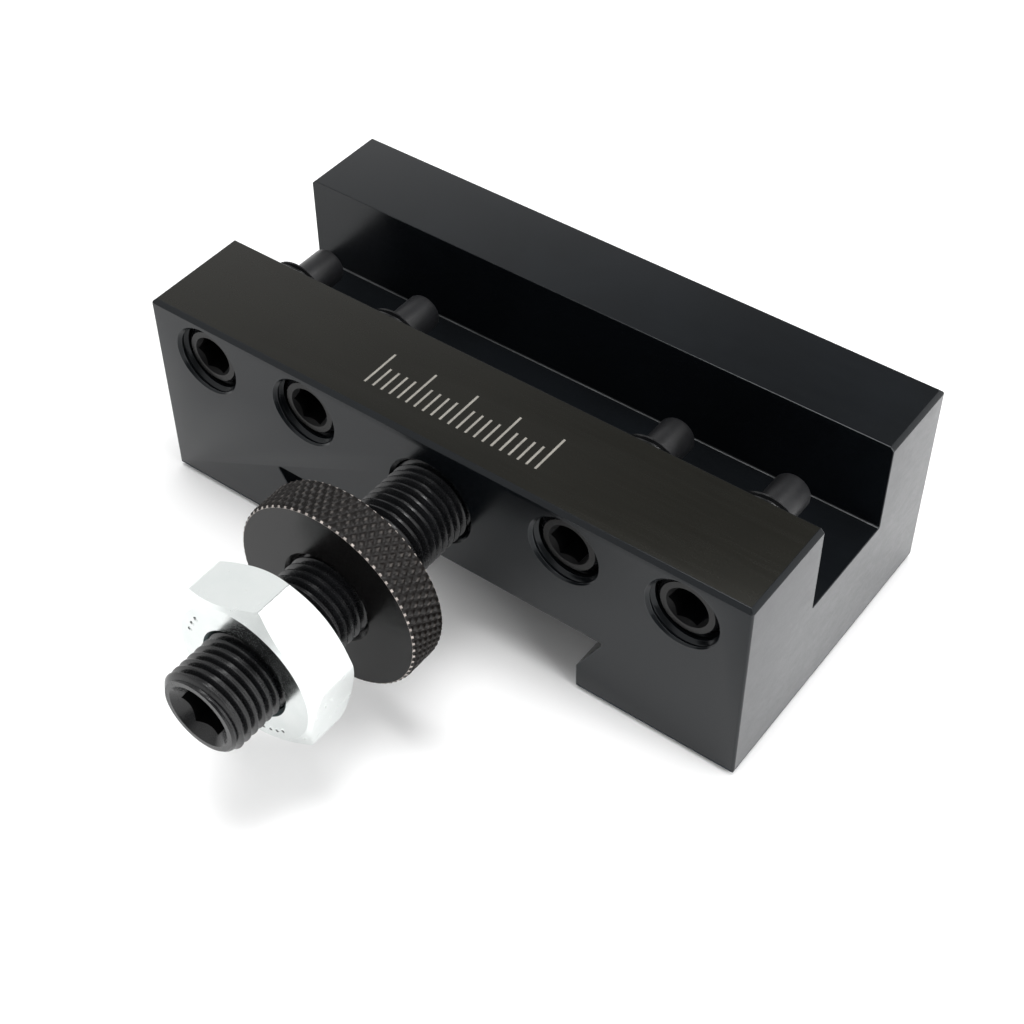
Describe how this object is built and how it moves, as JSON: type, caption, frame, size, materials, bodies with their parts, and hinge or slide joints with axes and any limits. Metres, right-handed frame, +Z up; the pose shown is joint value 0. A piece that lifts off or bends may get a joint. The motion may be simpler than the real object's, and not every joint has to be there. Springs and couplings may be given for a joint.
{
  "type": "quick change tool holder",
  "caption": "Steel block with a tool slot on top, a dovetail channel underneath, dog-point set screws and a threaded stud with a knurled nut and a lock nut.",
  "frame": {"origin": "middle of the bounding box in plan, on the plane of the two dovetail legs' bottom faces; the stud's axis is at x = 0 and the block's front face is at y = -1.5 mm", "axes": "+X along the tool slot, +Y from the stud's free end to the block's back face, +Z up out of the tool slot"},
  "size_m": [0.077, 0.073, 0.0282],
  "materials": {
    "black_oxide_block": "black oxide on ground steel, satin, with bright worn edges",
    "black_oxide_thread": "black oxide on cut threads, with a thin film of oil",
    "black_oxide_knurl": "brown-black oxide on a diamond knurl, rubbed bright on the crests",
    "bright_zinc": "bright zinc plating with a pale blue-green tint"
  },
  "bodies": {
    "holder": {"holder_body": "black_oxide_block", "height_stud": "black_oxide_thread"},
    "set_screw_1": {"set_screw_1": "black_oxide_thread"},
    "set_screw_2": {"set_screw_2": "black_oxide_thread"},
    "set_screw_3": {"set_screw_3": "black_oxide_thread"},
    "set_screw_4": {"set_screw_4": "black_oxide_thread"},
    "height_nut": {"knurled_height_nut": "black_oxide_knurl"},
    "lock_nut": {"hex_lock_nut": "bright_zinc"}
  },
  "joints": [
    {"name": "set_screw_1_travel", "type": "slide", "parent": "holder", "child": "set_screw_1", "axis": [0, 1, 0], "range_m": [-0.00785, 0.0056]},
    {"name": "set_screw_2_travel", "type": "slide", "parent": "holder", "child": "set_screw_2", "axis": [0, 1, 0], "range_m": [-0.00785, 0.0056]},
    {"name": "set_screw_3_travel", "type": "slide", "parent": "holder", "child": "set_screw_3", "axis": [0, 1, 0], "range_m": [-0.00785, 0.0056]},
    {"name": "set_screw_4_travel", "type": "slide", "parent": "holder", "child": "set_screw_4", "axis": [0, 1, 0], "range_m": [-0.00785, 0.0056]},
    {"name": "height_nut_travel", "type": "slide", "parent": "holder", "child": "height_nut", "axis": [0, 1, 0], "range_m": [-0.003, 0.0116]},
    {"name": "lock_nut_travel", "type": "slide", "parent": "height_nut", "child": "lock_nut", "axis": [0, 1, 0], "range_m": [-0.0034, 0.0055]}
  ]
}
